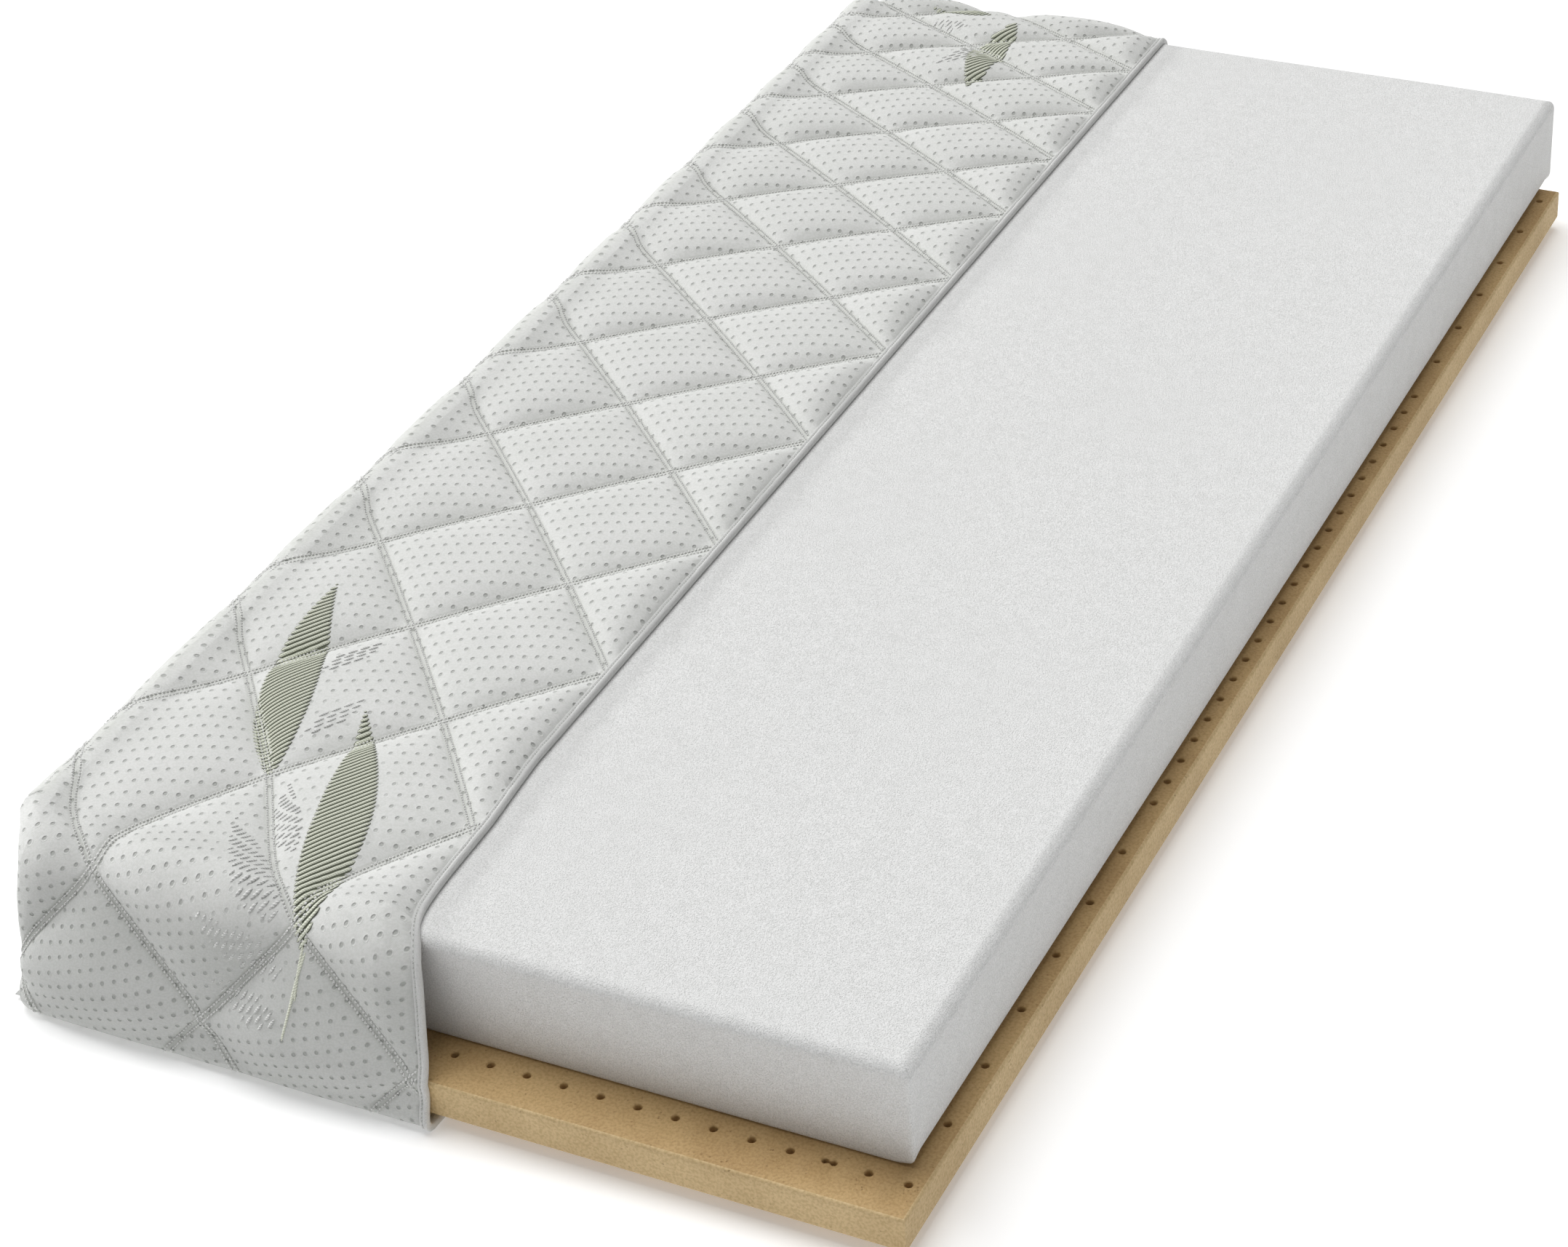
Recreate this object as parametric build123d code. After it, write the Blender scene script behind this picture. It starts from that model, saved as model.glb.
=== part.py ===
from build123d import *
import os

# Cutaway sample of a Twin XL memory foam mattress, in millimetres, +Z up.
# A foam core lies on a perforated latex base. A quilted cover wraps the left half and ends at a hemmed
# cut. The functions below use core coordinates: x = 0 and y = 0 at the foam's left and front faces,
# z = 0 at the underside of the cover. The exported parts move to an origin at the bottom centre of the
# whole.

# Foam core
foam_width = 965.0
foam_length = 2032.0
foam_thickness = 116.0
foam_edge_radius = 16.0
right_corner_radius = 8.0
left_corner_radius = 45.0

# Latex base, which steps out of the foam at the right and the front and stops short of it at the rear
latex_thickness = 39.0
latex_step_right = 20.0
latex_step_front = 66.0
latex_step_rear = 30.0
latex_edge_radius = 7.0
latex_bottom_radius = 3.0

# Ventilation holes through the latex: sparse rows at both ends, dense rows in the middle zone
hole_diameter = 8.0
hole_pitch_across = 39.5
hole_side_margin = 16.6
hole_front_margin = 45.7
end_zone_rows = 8
end_zone_pitch = 87.0
middle_zone_length = 858.0
middle_zone_rows = 23
rear_rows = 6
twin_hole_column = 2
twin_hole_diameter = 7.0
twin_hole_spacing = 8.6

# Cover plies, from the outside in, and the base panel that closes the cover underneath
knit_thickness = 1.5
wadding_thickness = 12.0
lining_thickness = 1.5
wadding_lip = 1.5
base_thickness = 12.0
base_edge_radius = 9.0
cover_fit = 0.6
slope_foot_rise = 1 / 3  # how far the front slope's foot rises for each millimetre that a ply lies further in

# Cut edge, upright and seen from above: it runs along the mattress at cut_x, drifts right from drift_y on,
# and from bend_y on slants right over the front slope, as far as cut_x_front at the front wall
cut_x = 430.0
cut_x_bend = 441.0
cut_x_front = 497.0
drift_y = 270.0
bend_y = 40.0
bend_radius = 120.0
hem_width = 8.0

# Zipper in the cover's left wall
zip_height = 80.0
zip_start = 70.0
zip_end = 1960.0
zip_slot = 26.0
zip_depth = 3.0
tape_thickness = 0.9
tape_inner = 1.6
coil_gap = 1.8
coil_width = 2.6
coil_height = 2.2
stop_length = 4.0
slider_length = 12.0
slider_width = 10.0
slider_plate = 1.2
slider_corner_radius = 2.0
slider_clearance = 0.3
slider_rest_gap = 2.0
slider_post = 1.2
slider_post_length = 3.0
flange_width = 0.8
flange_height = 1.0
flange_setback = 3.0
bail_radius = 0.7
bail_length = 7.0
bail_foot_length = 1.4
bail_foot_height = 1.8
pull_bore = 1.0
pull_barrel_radius = 1.7
pull_barrel_length = 4.0
pull_neck_length = 5.0
pull_neck_overlap = 1.0
pull_corner_radius = 2.4
pull_length = 26.0
pull_width = 7.0
pull_thickness = 1.2

# Care label, blank, sewn flat on the left wall above the zipper
label_length = 60.0
label_height = 34.0
label_thickness = 0.6
label_y = 900.0
label_z = 98.0

# How far helper solids reach past the model, and tolerances for picking edges and faces
margin = 200.0
near = 1.0
tall = 20.0

# Worked out from the sizes above
panel_thickness = knit_thickness + wadding_thickness + lining_thickness
cover_corner_radius = left_corner_radius + panel_thickness
latex_bottom = base_thickness + cover_fit
foam_bottom = latex_bottom + latex_thickness
foam_top = foam_bottom + foam_thickness
cover_top = foam_top + cover_fit + panel_thickness
cover_left = -cover_fit - panel_thickness
cover_front = -latex_step_front - cover_fit - panel_thickness
cover_rear = foam_length + cover_fit + panel_thickness
latex_right = foam_width + latex_step_right
wadding_split_z = cover_top - knit_thickness - wadding_thickness - wadding_lip
wadding_front_y = -cover_fit - panel_thickness + cover_corner_radius
wadding_rear_y = cover_rear - cover_corner_radius
far = 2 * foam_length
tape_face = cover_left + zip_depth
coil_face = tape_face - coil_height
slider_face = coil_face - slider_clearance - slider_plate
bail_x = slider_face - pull_barrel_radius - slider_clearance
zip_outermost = bail_x - pull_barrel_radius
slider_y = zip_start + stop_length + slider_length / 2 + slider_rest_gap
slider_travel = zip_end - stop_length - slider_length / 2 - slider_rest_gap - slider_y
origin = Vector((zip_outermost + latex_right) / 2, (cover_front + cover_rear) / 2, 0.0)


def box(x, y, z):
    """A box between two limits on each axis."""
    size = [b - a for a, b in (x, y, z)]
    middle = [(a + b) / 2 for a, b in (x, y, z)]
    return Pos(*middle) * Box(*size)


def edge_box(solid, x=None, y=None, z=None):
    """The solid's edges whose centres lie inside the given limits."""
    kept = []
    for edge in solid.edges():
        c = edge.center()
        tests = zip((c.X, c.Y, c.Z), (x, y, z))
        if all(span is None or span[0] <= value <= span[1] for value, span in tests):
            kept.append(edge)
    return kept


def upright_edges(solid, x):
    """Vertical edges of a block that stand at the given x."""
    return [e for e in edge_box(solid, x=(x - near, x + near)) if abs((e @ 1 - e @ 0).Z) > tall]


def rim(solid, z):
    """Outer edges of the face at height z, without the rims of any small holes."""
    face = solid.faces().filter_by(Plane.XY).sort_by_distance((foam_width / 2, foam_length / 2, z))[0]
    return list(face.outer_wire().edges())


def slab(x, y, z):
    """A foam block with tight right corners and rounded left corners."""
    block = box(x, y, z)
    block = fillet(upright_edges(block, x[0]), left_corner_radius)
    return fillet(upright_edges(block, x[1]), right_corner_radius)


def foam_core():
    block = slab((0, foam_width), (0, foam_length), (foam_bottom, foam_top))
    return fillet(rim(block, foam_top), foam_edge_radius)


def hole_rows():
    """Positions along y of the rows of ventilation holes."""
    first = -latex_step_front + hole_front_margin
    ends = [first + i * end_zone_pitch for i in range(end_zone_rows)]
    step = middle_zone_length / (middle_zone_rows - 1)
    middle = [ends[-1] + i * step for i in range(1, middle_zone_rows)]
    rear = [middle[-1] + i * end_zone_pitch for i in range(1, rear_rows + 1)]
    return ends + middle + rear


def latex_base():
    x = (0, latex_right)
    y = (-latex_step_front, foam_length - latex_step_rear)
    last_x = latex_right - hole_side_margin
    columns = int((last_x - hole_side_margin) / hole_pitch_across) + 1
    rows = hole_rows()
    places = [(last_x - c * hole_pitch_across, row) for row in rows for c in range(columns)]
    twin = places.pop(twin_hole_column)
    twins = [(twin[0] - twin_hole_spacing / 2, twin[1]), (twin[0] + twin_hole_spacing / 2, twin[1])]
    block = slab(x, y, (latex_bottom, foam_bottom))
    block = fillet(rim(block, foam_bottom), latex_edge_radius)
    block = fillet(rim(block, latex_bottom), latex_bottom_radius)
    plan = Sketch() + Locations(*places) * Circle(hole_diameter / 2)
    plan += Locations(*twins) * Circle(twin_hole_diameter / 2)
    drills = extrude(plan, latex_bottom + latex_thickness + margin)
    return block - drills


def cover_body(inset):
    """The cover's outer form, with every surface moved in by inset. It runs past the cut on the right."""
    left = cover_left + inset
    top = cover_top - inset
    front = cover_front + inset
    rear = cover_rear - inset
    shoulder = -cover_fit - panel_thickness + inset
    profile = Polyline(
        (rear, 0),
        (rear, top),
        (shoulder, top),
        (front, foam_bottom + inset * slope_foot_rise),
        (front, 0),
        close=True,
    )
    body = extrude(Plane.YZ.offset(left) * make_face(profile), foam_width - left)
    body = fillet(upright_edges(body, left), cover_corner_radius - inset)
    top_edges = [e for e in rim(body, top) if e.center().X < foam_width - near]
    return fillet(top_edges, foam_edge_radius + panel_thickness - inset)


def left_of_cut(shift):
    """A block that holds everything left of the cut, moved left by shift."""
    outline = Polyline(
        (-margin, far),
        (cut_x - shift, far),
        (cut_x - shift, drift_y),
        (cut_x_bend - shift, bend_y),
        (cut_x_front - shift, cover_front),
        (cut_x_front - shift, cover_front - margin),
        (-margin, cover_front - margin),
        close=True,
    )
    plan = make_face(outline)
    bend = plan.vertices().sort_by_distance((cut_x_bend - shift, bend_y, 0))[0]
    return extrude(Pos(0, 0, -margin) * fillet(bend, bend_radius), cover_top + 2 * margin)


def zip_opening():
    z = (zip_height - zip_slot / 2, zip_height + zip_slot / 2)
    return box((cover_left - near, cover_fit + near), (zip_start, zip_end), z)


def ply(outer_inset, inner_inset):
    """One ply of the quilted cover: the top and three walls, above the base panel."""
    shell = cover_body(outer_inset) - cover_body(inner_inset)
    above_base = box((-margin, foam_width), (-margin, far), (base_thickness, far))
    return (shell & above_base & left_of_cut(hem_width)) - zip_opening()


def cover_knit():
    return ply(0, knit_thickness)


def wadding(y, z):
    """The piece of wadding in the cover's top or in one of its walls, between two limits in y and z."""
    whole = ply(knit_thickness, knit_thickness + wadding_thickness)
    return whole & box((-margin, foam_width), y, z)


def cover_lining():
    return ply(knit_thickness + wadding_thickness, panel_thickness)


def base_panel():
    low = box((-margin, foam_width), (-margin, far), (-margin, base_thickness))
    panel = cover_body(0) & low
    panel = fillet([e for e in rim(panel, 0) if e.center().X < foam_width - near], base_edge_radius)
    return panel & left_of_cut(hem_width)


def cut_hem():
    """The folded edge that closes the plies and the base panel along the cut."""
    pocket = cover_body(panel_thickness) & box((-margin, far), (-margin, far), (base_thickness, far))
    return ((cover_body(0) - pocket) & left_of_cut(0)) - left_of_cut(hem_width)


def zip_tape(side):
    z = sorted((zip_height + side * tape_inner, zip_height + side * zip_slot / 2))
    return box((tape_face, tape_face + tape_thickness), (zip_start, zip_end), z)


def zip_coil(side):
    z = sorted((zip_height + side * coil_gap / 2, zip_height + side * (coil_gap / 2 + coil_width)))
    return box((coil_face, tape_face), (zip_start + stop_length, zip_end - stop_length), z)


def zip_stop(y):
    reach = coil_gap / 2 + coil_width
    return box((coil_face, tape_face), (y, y + stop_length), (zip_height - reach, zip_height + reach))


def zip_slider():
    """Two plates joined by the post that parts the coils, with side flanges and the bail for the pull."""
    y = (slider_y - slider_length / 2, slider_y + slider_length / 2)
    z = (zip_height - slider_width / 2, zip_height + slider_width / 2)
    inner_face = tape_face + tape_thickness + slider_clearance
    outer = box((slider_face, slider_face + slider_plate), y, z)
    inner = box((inner_face, inner_face + slider_plate), y, z)
    post_y = (y[0], y[0] + slider_post_length)
    post_z = (zip_height - slider_post / 2, zip_height + slider_post / 2)
    body = outer + inner + box((slider_face, inner_face + slider_plate), post_y, post_z)
    body = fillet(body.edges().filter_by(Axis.X).group_by(Axis.Y)[-1], slider_corner_radius)
    for side in (-1, 1):
        edge = zip_height + side * slider_width / 2
        flange = sorted((edge, edge - side * flange_width))
        flange_x = (slider_face + slider_plate, slider_face + slider_plate + flange_height)
        body += box(flange_x, (y[0], y[1] - flange_setback), flange)
    bar = Pos(bail_x, slider_y, zip_height) * Rot(90, 0, 0) * Cylinder(bail_radius, bail_length)
    foot_z = (zip_height - bail_foot_height / 2, zip_height + bail_foot_height / 2)
    for end in (slider_y - bail_length / 2, slider_y + bail_length / 2):
        foot_y = (end - bail_foot_length / 2, end + bail_foot_length / 2)
        body += box((bail_x - bail_radius, slider_face), foot_y, foot_z)
    return body + bar


def zip_pull():
    """The pull hangs from the bail by a rolled barrel."""
    turn = Pos(bail_x, slider_y, zip_height) * Rot(90, 0, 0)
    barrel = turn * Cylinder(pull_barrel_radius, pull_barrel_length)
    neck = box(
        (bail_x - pull_thickness / 2, bail_x + pull_thickness / 2),
        (slider_y - pull_barrel_length / 2, slider_y + pull_barrel_length / 2),
        (zip_height - pull_barrel_radius - pull_neck_length, zip_height - pull_bore),
    )
    grip_top = zip_height - pull_barrel_radius - pull_neck_length + pull_neck_overlap
    grip = box(
        (bail_x - pull_thickness / 2, bail_x + pull_thickness / 2),
        (slider_y - pull_width / 2, slider_y + pull_width / 2),
        (grip_top - pull_length, grip_top),
    )
    grip = fillet(grip.edges().filter_by(Axis.X), pull_corner_radius)
    bore = turn * Cylinder(pull_bore, 2 * pull_barrel_length)
    return barrel + neck + grip - bore


def care_label():
    x = (cover_left - label_thickness, cover_left)
    return box(x, (label_y, label_y + label_length), (label_z, label_z + label_height))


parts = {
    "foam_core": foam_core,
    "latex_base": latex_base,
    "cover_knit": cover_knit,
    "wadding_top": lambda: wadding((-margin, far), (wadding_split_z, far)),
    "wadding_front": lambda: wadding((-margin, wadding_front_y), (0, wadding_split_z)),
    "wadding_rear": lambda: wadding((wadding_rear_y, far), (0, wadding_split_z)),
    "wadding_left_upper": lambda: wadding((wadding_front_y, wadding_rear_y), (zip_height, wadding_split_z)),
    "wadding_left_lower": lambda: wadding((wadding_front_y, wadding_rear_y), (0, zip_height)),
    "cover_lining": cover_lining,
    "base_panel": base_panel,
    "cut_hem": cut_hem,
    "zip_tape_upper": lambda: zip_tape(1),
    "zip_tape_lower": lambda: zip_tape(-1),
    "zip_coil_upper": lambda: zip_coil(1),
    "zip_coil_lower": lambda: zip_coil(-1),
    "zip_stop_front": lambda: zip_stop(zip_start),
    "zip_stop_rear": lambda: zip_stop(zip_end - stop_length),
    "zip_slider": zip_slider,
    "zip_pull": zip_pull,
    "care_label": care_label,
}

os.makedirs("parts", exist_ok=True)
for name, make in parts.items():
    export_step(Pos(*(-origin)) * make(), f"parts/{name}.step")

bail = Vector(bail_x, slider_y, zip_height) - origin
print("slider travel", slider_travel, "pull hinge at", tuple(bail))
print("size", latex_right - zip_outermost, cover_rear - cover_front, cover_top)
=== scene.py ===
import math
from collections import namedtuple

import bmesh
import bpy
import numpy as np
from mathutils import Matrix, Vector


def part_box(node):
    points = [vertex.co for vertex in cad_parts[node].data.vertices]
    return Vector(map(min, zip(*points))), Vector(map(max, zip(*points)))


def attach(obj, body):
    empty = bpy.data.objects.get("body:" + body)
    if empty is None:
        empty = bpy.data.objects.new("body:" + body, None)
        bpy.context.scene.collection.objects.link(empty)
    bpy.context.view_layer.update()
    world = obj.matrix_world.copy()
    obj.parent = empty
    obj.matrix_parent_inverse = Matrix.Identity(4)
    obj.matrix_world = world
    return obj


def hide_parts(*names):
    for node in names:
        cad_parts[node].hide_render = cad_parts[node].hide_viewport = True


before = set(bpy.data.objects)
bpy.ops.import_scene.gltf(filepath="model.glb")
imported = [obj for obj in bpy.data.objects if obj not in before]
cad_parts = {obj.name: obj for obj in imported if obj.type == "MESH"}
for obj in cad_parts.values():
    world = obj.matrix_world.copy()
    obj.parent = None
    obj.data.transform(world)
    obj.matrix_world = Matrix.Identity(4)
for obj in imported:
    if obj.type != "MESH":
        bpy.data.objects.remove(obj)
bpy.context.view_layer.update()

# Lengths are in millimetres until a mesh is made, and then in metres.
MM = 0.001


def node_box(node):
    low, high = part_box(node)
    return np.array(low) / MM, np.array(high) / MM


foam_low, foam_high = node_box("foam_core")
latex_low, latex_high = node_box("latex_base")
knit_low, knit_high = node_box("cover_knit")
base_low, base_high = node_box("base_panel")
slot_low, slot_high = node_box("zip_tape_lower")[0], node_box("zip_tape_upper")[1]
COVER_TOP = knit_high[2]
SLOPE_RUN = foam_low[1] - latex_low[1]

# Cover form: a rounded rectangle in plan, whose edge turns down in a round, a wall and a bottom roll
CORNER_R = 60.0
EDGE_R = 31.0
FLAT_R = CORNER_R - EDGE_R
FAN_X = knit_low[0] + CORNER_R
FAN_Y_FRONT = knit_low[1] + SLOPE_RUN + CORNER_R
FAN_Y_REAR = knit_high[1] - CORNER_R
LEFT_U = FAN_X - FLAT_R
ROUND_MID_R = 24.0
ROLL_R = 14.0
ROLL_MID_R = 8.0
T_WALL = ROUND_MID_R * math.pi / 2
T_ROLL = T_WALL + COVER_TOP - EDGE_R - ROLL_R
T_UNDER = T_ROLL + ROLL_MID_R * math.pi / 2
T_END = T_UNDER + 16.0
SEAM_DEPTH = 9.6
SEAM_DEPTH_BOTTOM = 0.5
FLOOR_GAP = 0.1
EDGE_SWELL = 9.5
SWELL_REACH = 45.0
EDGE_STRETCH = 22.0
SWELL_FADE = (math.radians(46), math.radians(86))
SWELL_START = (-60, 30)
EDGE_START = (-60, 20)
SWELL_END = (98, 56)
BOTTOM_FADE = (T_ROLL - 30, T_ROLL + 6)
STRETCH_FADE = (-30, 34)
SLOPE_FADE = (math.radians(78), math.radians(22))
QUILT_THICKNESS = 3.8
SEAM_ANGLE = math.radians(82)

# Quilt lattice: stitch lines where a + v or a - v is a whole number
COLUMN_X = -57.0
COLUMN_PITCH = 236.0
ROW_Y = -822.0
ROW_PITCH = 280.0
ROW_RATIO = 0.907
PILLOW = 13.5
BORDER_T = 14.5
SEAM_BAND = 4.6
CUT_U = -52.5
HEM_WIDTH = 8.0
CUT_RAMP = 27.0
CORNER_RAMP = 16.0
LUMP_HEIGHT = 0.45
PUCKER_HEIGHT = 0.5
PUCKER_PITCH = 15.0
RIDGE_HEIGHT = 0.8
RIDGE_WIDTH = 0.8
LIP_AT = 5.4
LIP_WIDTH = 1.2
NEVER = 99.0

# How far the cut edge and the cloth move right towards the front, at distances along the fabric
LEAN_S = (-1172, -1089.5, -1071.5, -1039.5, -1019.5, -993.6, -972.6, -949, -924, -892, -805, -759, -700)
LEAN_U = (67, 62, 57, 49, 44, 36, 23, 15.5, 12.5, 10.5, 8.5, 4.5, 0)
# The stitch columns lean less than the cut does: this comes off, at distances along the fabric
COLUMN_S = (-1168, -1090, -1000, -949, -924, -892, -805, -759, -700)
COLUMN_U = (-18, -12, -14, -13, -12, -10.5, -8.5, -4.5, 0)


def smooth(low, high, value):
    t = np.clip((value - low) / (high - low), 0, 1)
    return t * t * (3 - 2 * t)


def mix(a, b, k):
    return a + (b - a) * k


def pair(a, b):
    """Points with two coordinates, from an array of each."""
    return np.stack(np.broadcast_arrays(a, b), -1)


# ---- cover form


def edge_profile(t):
    """Centre line and normal of the cover's edge section at a distance t past the flat top."""
    round_angle = np.clip(t / ROUND_MID_R, 0, math.pi / 2)
    roll_angle = np.clip((t - T_ROLL) / ROLL_MID_R, 0, math.pi / 2)
    angle = round_angle + roll_angle
    rolled = t > T_ROLL
    out = np.where(rolled, EDGE_R - ROLL_R - np.maximum(t - T_UNDER, 0), 0.0)
    height = COVER_TOP - EDGE_R - np.clip(t - T_WALL, 0, T_ROLL - T_WALL)
    radius = np.where(rolled, ROLL_R, EDGE_R)
    return out, height, radius, angle


def lean_shift(s):
    """How far the cut edge and the cloth beside it have moved right at a distance s along the fabric."""
    near = [np.interp(s + step, LEAN_S, LEAN_U) for step in (-9, -4.5, 0, 4.5, 9)]
    return sum(near) / len(near)


Fold = namedtuple("Fold", "kx ky psi side t notch")


def fold(u, s):
    """Where fabric point (u, s) lies on the form: fan centre, plan angle psi from the front or rear to the
    left, side, edge distance t, and distances outside the corner notch on its two flaps."""
    right = np.maximum(FAN_X - u, 0)
    front = np.maximum(FAN_Y_FRONT - s, 0)
    along = front + np.maximum(s - FAN_Y_REAR, 0)
    side = np.where(s > FAN_Y_REAR, 1.0, -1.0)
    r = np.hypot(right, along)
    t = r - FLAT_R
    phi = np.arctan2(right, along)
    turned = FLAT_R + ROUND_MID_R * np.sin(np.clip(t / ROUND_MID_R, 0, math.pi / 2))
    squeeze = np.where(t > 0, turned / np.maximum(r, 1.0), 1.0)
    front_edge = SEAM_ANGLE * squeeze
    left_edge = math.pi / 2 - (math.pi / 2 - SEAM_ANGLE) * squeeze
    on_front = phi < (front_edge + left_edge) / 2
    psi_front = np.minimum(phi / squeeze, SEAM_ANGLE)
    psi_left = np.maximum(math.pi / 2 - (math.pi / 2 - phi) / squeeze, SEAM_ANGLE)
    psi = np.where(on_front, psi_front, psi_left)
    kx = np.maximum(u, FAN_X)
    ky = np.clip(s, FAN_Y_FRONT, FAN_Y_REAR)
    return Fold(kx, ky, psi, side, t, ((front_edge - phi) * r, (phi - left_edge) * r))


def swelling(u, s, t, psi):
    """How far a point has risen onto the full left top edge, how near it is to it, and how much it is in
    the bottom roll."""
    right = FAN_X - u
    along = np.maximum(FAN_Y_FRONT - s, 0) + np.maximum(s - FAN_Y_REAR, 0)
    inner = smooth(0, -FLAT_R, t)
    angle = np.where(t > 0, psi, np.arctan2(np.maximum(right + SWELL_REACH * inner, 0), along))
    edge_t = np.where(right > 0, t, right - FLAT_R + along)
    beside = smooth(*SWELL_FADE, angle) * smooth(*SWELL_END, t)
    swell = beside * smooth(*SWELL_START, edge_t) ** 3
    return swell, beside * smooth(*EDGE_START, edge_t), smooth(*BOTTOM_FADE, t)


def place(u, s, lift):
    """Points on the cover in frame millimetres, at a height lift over the seam level along the normal."""
    u, s, lift = (np.asarray(a, float) for a in np.broadcast_arrays(u, s, lift))
    kx, ky, psi, sign, t, _ = fold(u, s)
    out, height, radius, angle = edge_profile(t)
    nx, ny = -np.sin(psi), sign * np.cos(psi)
    flat = t <= 0
    cx = np.where(flat, u, kx + nx * (FLAT_R + out))
    cy = np.where(flat, s, ky + ny * (FLAT_R + out))
    swell, _, bottom = swelling(u, s, t, psi)
    depth = mix(mix(SEAM_DEPTH, SEAM_DEPTH_BOTTOM, bottom), -EDGE_SWELL, swell)
    reach = radius - depth + lift
    outer_z = height + radius * np.cos(angle)
    slope = np.clip((COVER_TOP - outer_z) / (COVER_TOP - foam_low[2]), 0, 1)
    near_front = np.where(sign > 0, 0.0, smooth(*SLOPE_FADE, psi))
    x = cx + nx * np.sin(angle) * reach
    y = cy + ny * np.sin(angle) * reach - SLOPE_RUN * slope * near_front
    z = np.maximum(height + np.cos(angle) * reach, FLOOR_GAP)
    return np.stack([x, y, z], -1)


# ---- quilt lattice

table_s = np.arange(-1260.0, 1320.0, 1.0)


def row_table():
    """Row number v for each distance along the fabric, smoothed where the front wall's rule takes over."""
    inside = np.clip(1 - (table_s - ROW_Y) * (1 - ROW_RATIO) / ROW_PITCH, 0.1, None)
    top = np.log(inside) / math.log(ROW_RATIO)
    knots_s = [table_s[0], -1168, -1101.6, -1000.6, ROW_Y]
    knots_v = [-1.62, -1.25, -1.0, -0.5, 0.0]
    v = np.where(table_s < ROW_Y, np.interp(table_s, knots_s, knots_v), top)
    pad = 20
    kernel = np.ones(2 * pad + 1) / (2 * pad + 1)
    middle = np.convolve(v, kernel, "valid")
    beyond = np.arange(1, pad + 1)
    head = middle[0] - beyond[::-1] * (middle[1] - middle[0])
    return np.concatenate([head, middle, middle[-1] + beyond * (middle[-1] - middle[-2])])


table_v = row_table()
table_pitch = 1 / np.hypot(1 / COLUMN_PITCH, np.gradient(table_v, table_s))


def column_shift(s):
    """Sideways wander of the stitch columns on the front wall, on top of its lean."""
    return np.interp(s, COLUMN_S, COLUMN_U)


def edge_stretch(u):
    """How much further the quilting has run where the cloth is stretched over the full left edge."""
    return EDGE_STRETCH * smooth(*STRETCH_FADE, LEFT_U - u) ** 1.7


table_u = np.arange(-1000.0, 200.0, 1.0)
table_run = table_u - edge_stretch(table_u)


def lattice(u, s):
    """Fabric point to lattice numbers alpha, beta and the local distance between stitch lines."""
    a = (u - edge_stretch(u) - lean_shift(s) - column_shift(s) - COLUMN_X) / COLUMN_PITCH
    v = np.interp(s, table_s, table_v)
    return a + v, a - v, np.interp(s, table_s, table_pitch)


def unlattice(alpha, beta):
    """Lattice numbers to the fabric point, with u before the lean is added."""
    s = np.interp((alpha - beta) / 2, table_v, table_s)
    lean = lean_shift(s)
    run = COLUMN_PITCH * (alpha + beta) / 2 + COLUMN_X + column_shift(s) + lean
    return np.interp(run, table_run, table_u) - lean, s


def wall_distance(u, s):
    """Distance inside the fabric to the cut, the zipper slot and the corner seams."""
    to_cut = CUT_U - HEM_WIDTH + lean_shift(s) - u
    _, _, psi, _, t, notch = fold(u, s)
    p = place(u, s, 0.0)
    beside = np.maximum(np.maximum(slot_low - p, p - slot_high), 0)
    to_slot = np.where(psi > SEAM_ANGLE, np.hypot(beside[..., 1], beside[..., 2]), NEVER)
    to_corner = np.maximum(notch[0], notch[1]) + np.maximum(34 - t, 0) * 1.6
    return to_cut, to_slot, to_corner, t, psi


def pillow_noise(alpha, beta):
    """A steady number from -1 to 1 for each pillow."""
    n, m = np.floor(alpha), np.floor(beta)
    return np.sin(n * 12.9898 + m * 78.233) * np.cos(n * 39.3 - m * 11.7)


def relief(u, s):
    """Height of the quilted surface over the seam level, and how close a point is to a seam, for painted
    groove shade.
    """
    alpha, beta, pitch = lattice(u, s)
    da = np.abs(alpha - np.round(alpha)) * pitch
    db = np.abs(beta - np.round(beta)) * pitch
    to_cut, to_slot, to_corner, t, psi = wall_distance(u, s)
    _, near_edge, bottom = swelling(u, s, t, psi)
    rise = 1.0
    for d in (da, db):
        rise = rise * (1 - (1 - np.clip((d - SEAM_BAND) / (pitch / 2 - SEAM_BAND), 0, 1)) ** 3.2)
    rise = rise ** 0.68
    ramp = 1 - (1 - np.clip(to_cut / CUT_RAMP, 0, 1)) ** 2.2
    ramp = ramp * (1 - 0.72 * near_edge) * (1 - 0.93 * bottom)
    ramp = ramp * smooth(0, CORNER_RAMP, to_slot) * smooth(0, CORNER_RAMP, to_corner)
    puff = PILLOW * (1 + 0.07 * pillow_noise(alpha, beta)) * rise * ramp
    lumps = LUMP_HEIGHT * np.sin(u / 17 + 1.3 * np.sin(s / 31)) * np.sin(s / 19 + 1.1 * np.sin(u / 27))
    near = np.minimum(da, db)
    along = np.where(da < db, beta, alpha) * pitch
    wave = np.cos(along * math.tau / PUCKER_PITCH + 2 * np.sin(along / 23))
    pucker = PUCKER_HEIGHT * np.exp(-near / 9) * smooth(3, 7, near) * wave
    ridges = 0.0
    to_border = np.where(psi > SEAM_ANGLE, np.abs(t - BORDER_T), NEVER)
    for d in (da, db, to_border):
        ridge, lip = np.exp(-((d / RIDGE_WIDTH) ** 2)), np.exp(-(((d - LIP_AT) / LIP_WIDTH) ** 2))
        ridges = ridges + RIDGE_HEIGHT * (ridge + lip)
    near = np.minimum(near, to_border)
    open_cloth = 1 - 0.8 * bottom
    for d in (to_cut, to_slot, to_corner):
        open_cloth = open_cloth * smooth(0, 5, d)
    return puff + (lumps * rise + pucker + ridges) * open_cloth, smooth(6.2, 4.4, near)


# ---- mesh helpers


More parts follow.
